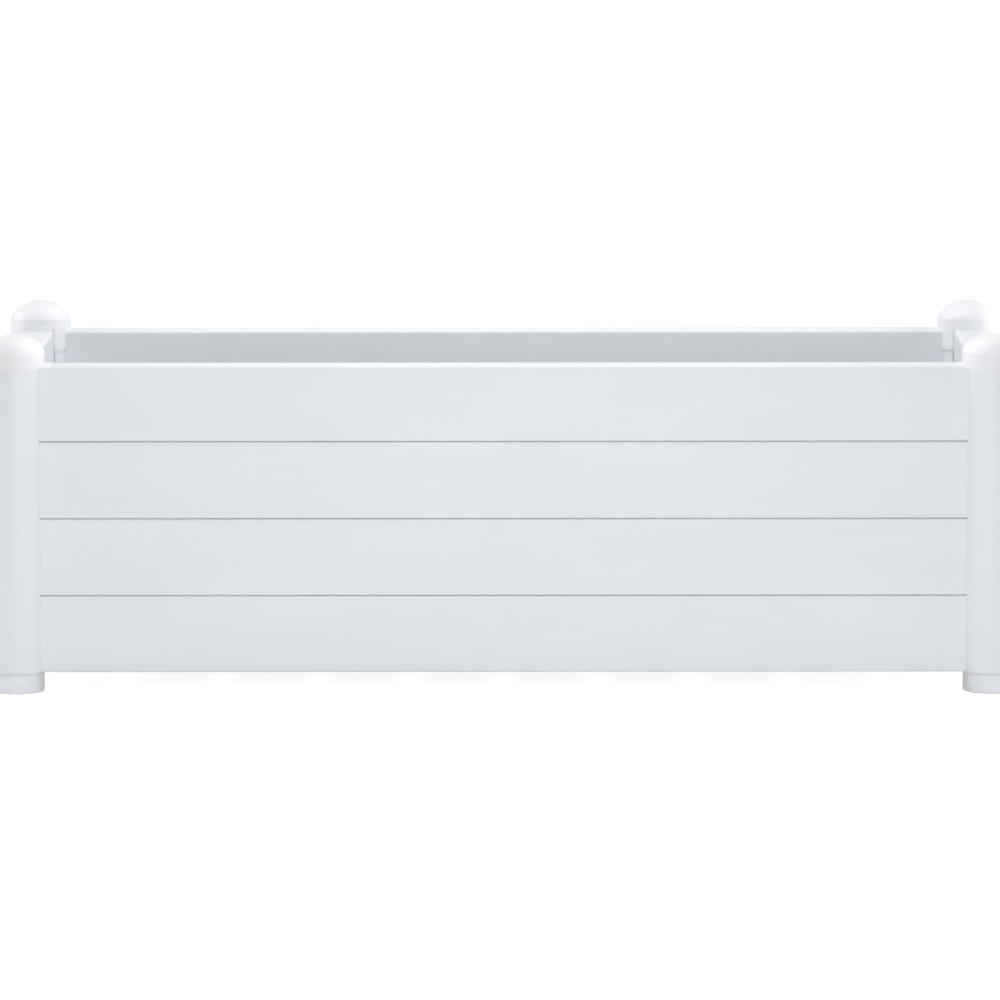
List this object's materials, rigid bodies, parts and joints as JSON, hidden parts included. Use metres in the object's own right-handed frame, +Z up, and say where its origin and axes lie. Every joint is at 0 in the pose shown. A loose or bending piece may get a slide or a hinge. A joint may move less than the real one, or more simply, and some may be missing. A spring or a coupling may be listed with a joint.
{
  "type": "planter",
  "caption": "Long low planter with board walls between round corner posts, domed post caps, short feet, an open top and a slatted floor.",
  "frame": {"origin": "on the ground, under the middle of the planter", "axes": "+X along the length to the right, +Y from the front to the back, +Z up"},
  "size_m": [1, 0.43, 0.346],
  "materials": {
    "post_pvc": "extruded white PVC, soft gloss",
    "cap_pvc": "moulded white PVC, soft gloss",
    "foot_pvc": "moulded white PVC, satin",
    "board_pvc": "extruded white PVC, soft gloss",
    "rail_pvc": "extruded white PVC, matt",
    "slat_pvc": "extruded white PVC, matt",
    "screw_steel": "plain stainless steel"
  },
  "bodies": {
    "root": {"post_front_left": "post_pvc", "post_front_right": "post_pvc", "post_back_right": "post_pvc", "post_back_left": "post_pvc", "cap_front_left": "cap_pvc", "cap_front_right": "cap_pvc", "cap_back_right": "cap_pvc", "cap_back_left": "cap_pvc", "foot_front_left": "foot_pvc", "foot_front_right": "foot_pvc", "foot_back_right": "foot_pvc", "foot_back_left": "foot_pvc", "front_board_bottom": "board_pvc", "front_board_lower": "board_pvc", "front_board_upper": "board_pvc", "front_board_top": "board_pvc", "back_board_bottom": "board_pvc", "back_board_lower": "board_pvc", "back_board_upper": "board_pvc", "back_board_top": "board_pvc", "left_board_bottom": "board_pvc", "left_board_lower": "board_pvc", "left_board_upper": "board_pvc", "left_board_top": "board_pvc", "right_board_bottom": "board_pvc", "right_board_lower": "board_pvc", "right_board_upper": "board_pvc", "right_board_top": "board_pvc", "ledger_rail_front": "rail_pvc", "ledger_rail_back": "rail_pvc", "floor_slat_1": "slat_pvc", "floor_slat_2": "slat_pvc", "floor_slat_3": "slat_pvc", "floor_slat_4": "slat_pvc", "floor_slat_5": "slat_pvc", "floor_slat_6": "slat_pvc", "floor_slat_7": "slat_pvc", "floor_slat_8": "slat_pvc", "floor_slat_9": "slat_pvc", "floor_slat_10": "slat_pvc", "rail_screws_front": "screw_steel", "rail_screws_back": "screw_steel", "slat_screws_front": "screw_steel", "slat_screws_back": "screw_steel"}
  },
  "joints": []
}
